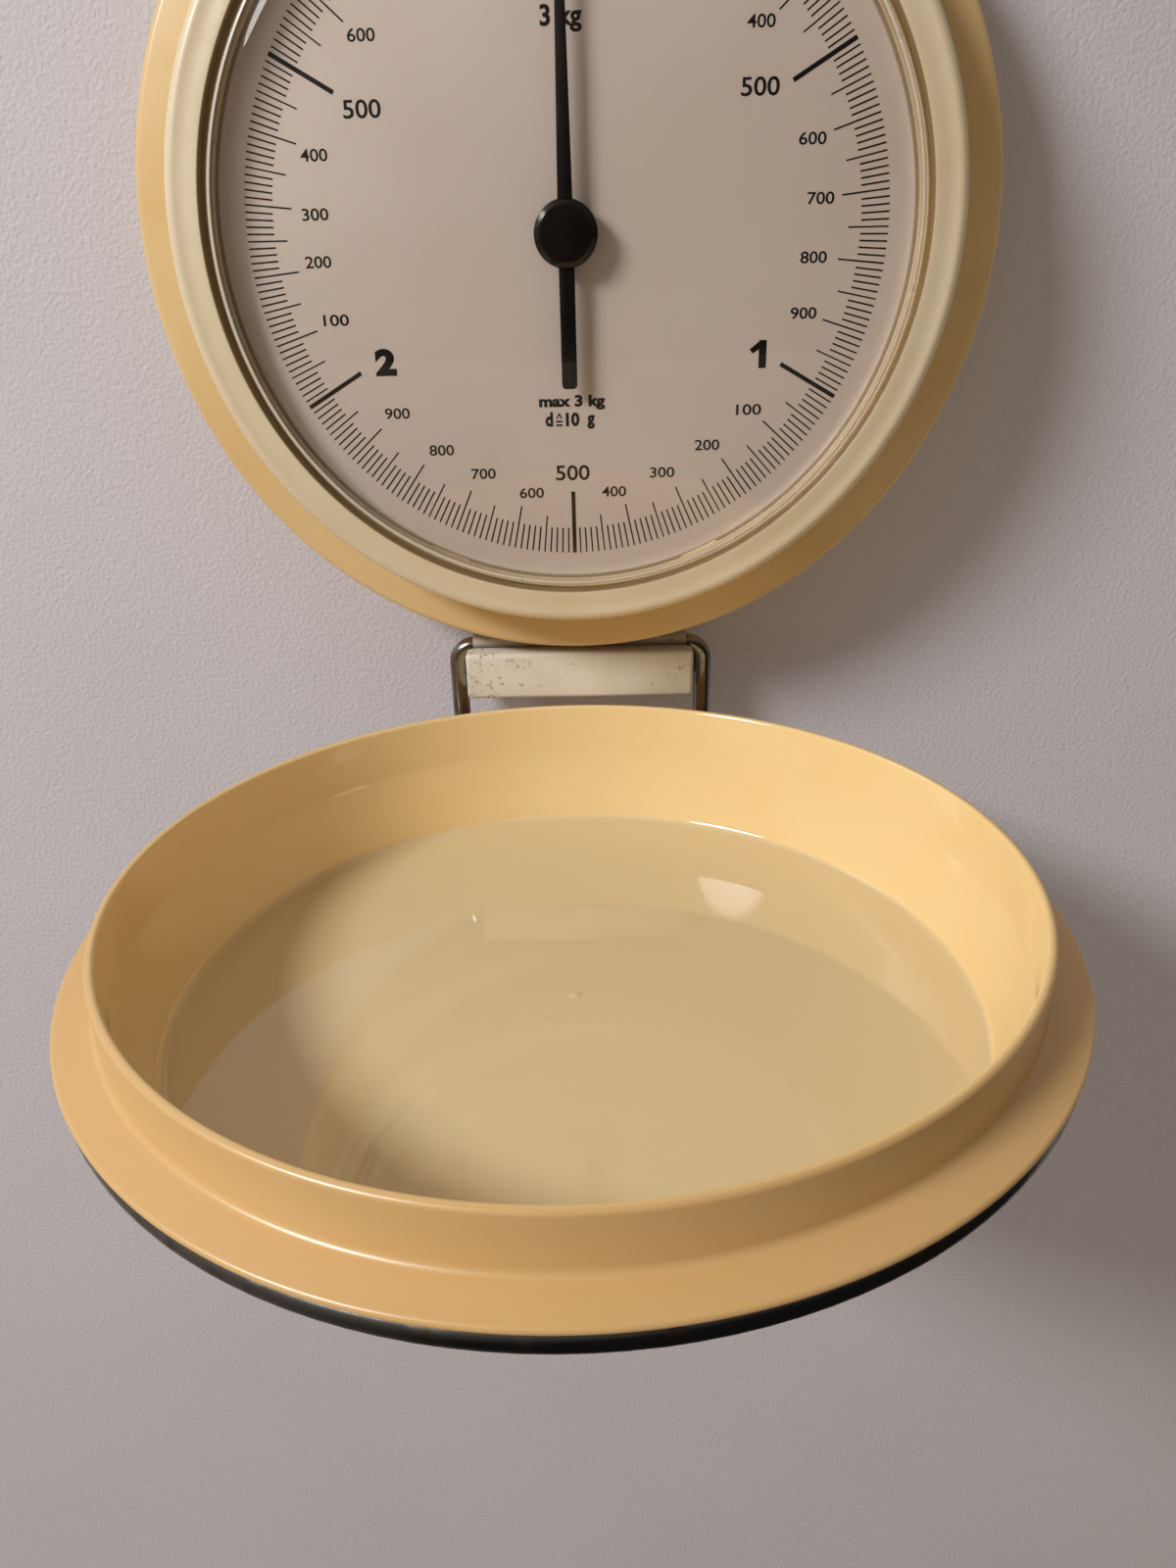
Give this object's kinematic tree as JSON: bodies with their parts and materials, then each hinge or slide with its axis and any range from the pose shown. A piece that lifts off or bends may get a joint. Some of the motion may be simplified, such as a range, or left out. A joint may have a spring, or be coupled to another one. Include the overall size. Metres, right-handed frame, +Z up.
{
  "type": "wall kitchen scale",
  "caption": "Round wall-mounted kitchen scale with a dial and pointer, and a bowl on a wire frame that folds up over the dial.",
  "frame": {"origin": "on the wall plane at the dial's axis", "axes": "+Z up, +Y into the wall, the dial faces -Y, +X to the right as seen from the front"},
  "size_m": [0.2092, 0.2252, 0.2691],
  "materials": {
    "yellow_plastic": "satin, slightly yellowed",
    "yellow_bowl": "glossy",
    "cream_plastic": "satin",
    "clear_plastic": "clear and glossy",
    "dial_aluminium": "satin, printed in black",
    "zinc_steel": "zinc plated",
    "screw_steel": "bright",
    "spring_steel": "oiled",
    "brass": "satin",
    "white_plastic": "matte",
    "grey_plastic": "matte",
    "cream_enamel": "satin enamel",
    "black_metal": "satin",
    "black_plastic": "satin",
    "chrome_wire": "slightly tarnished"
  },
  "bodies": {
    "wall_mount": {"wall_bracket": "zinc_steel"},
    "housing": {"rear_cover": "grey_plastic", "housing_shell": "yellow_plastic", "bezel_ring": "cream_plastic", "lens": "clear_plastic", "dial_plate": "dial_aluminium", "chassis_plate": "zinc_steel", "front_bridge": "zinc_steel", "bridge_standoffs": "brass", "bridge_screws": "screw_steel", "chassis_screws": "screw_steel", "cover_screws": "screw_steel", "rear_bush": "brass", "front_bush": "brass", "guide_pads": "white_plastic", "arm_pivot_pins": "screw_steel", "spring_left": "spring_steel", "spring_right": "spring_steel"},
    "spring_yoke": {"spring_yoke": "zinc_steel"},
    "zero_adjuster": {"zero_screw": "brass", "zero_knob": "cream_plastic"},
    "carriage": {"carriage_plate": "cream_enamel", "rack": "brass", "rack_rivets": "screw_steel", "arm_slide_pins": "screw_steel", "front_bar": "cream_plastic", "bar_screws": "screw_steel"},
    "upper_arm": {"upper_arm": "zinc_steel"},
    "lower_arm": {"lower_arm": "zinc_steel"},
    "pointer": {"pinion_shaft": "screw_steel", "pinion": "brass", "pointer": "black_metal", "pointer_cap": "black_plastic"},
    "pan_frame": {"pan_frame": "chrome_wire"},
    "bowl": {"bowl": "yellow_bowl"}
  },
  "joints": [
    {"name": "housing_lift", "type": "slide", "parent": "wall_mount", "child": "housing", "axis": [0, 0, 1], "range_m": [0, 0.006]},
    {"name": "carriage_travel", "type": "slide", "parent": "housing", "child": "carriage", "axis": [0, 0, 1], "range_m": [-0.0157, 0], "stiffness_N_per_m": 1870, "springref_m": 0.002, "deforming": ["spring_left", "spring_right"]},
    {"name": "pan_fold", "type": "hinge", "parent": "carriage", "child": "pan_frame", "pos_m": [0, -0.0135, -0.1071], "axis": [-1, 0, 0], "range_deg": [0, 90]},
    {"name": "bowl_lift", "type": "slide", "parent": "pan_frame", "child": "bowl", "axis": [0, 0.3746, -0.9272], "range_m": [-0.011, 0]},
    {"name": "pointer_turn", "type": "hinge", "parent": "housing", "child": "pointer", "pos_m": [0, 0, 0], "axis": [0, 1, 0], "range_deg": [0, 360]},
    {"name": "upper_arm_swing", "type": "hinge", "parent": "housing", "child": "upper_arm", "pos_m": [-0.045, -0.01, -0.02185], "axis": [0, 1, 0], "range_deg": [0, 16.6]},
    {"name": "lower_arm_swing", "type": "hinge", "parent": "housing", "child": "lower_arm", "pos_m": [-0.045, -0.01, -0.06985], "axis": [0, 1, 0], "range_deg": [0, 16.6]},
    {"name": "zero_knob_turn", "type": "hinge", "parent": "housing", "child": "zero_adjuster", "pos_m": [0, -0.0135, 0.105], "axis": [0, 0, 1], "range_deg": [-360, 360]},
    {"name": "zero_yoke_shift", "type": "slide", "parent": "housing", "child": "spring_yoke", "axis": [0, 0, 1], "range_m": [-0.0007, 0.0007]}
  ],
  "couplings": [
    {"joint": "pointer_turn", "follows": "carriage_travel", "rad_per_m": -400},
    {"joint": "upper_arm_swing", "follows": "carriage_travel", "rad_per_m": -18.39},
    {"joint": "lower_arm_swing", "follows": "carriage_travel", "rad_per_m": -18.39},
    {"joint": "zero_knob_turn", "follows": "zero_yoke_shift", "rad_per_m": -8976}
  ]
}
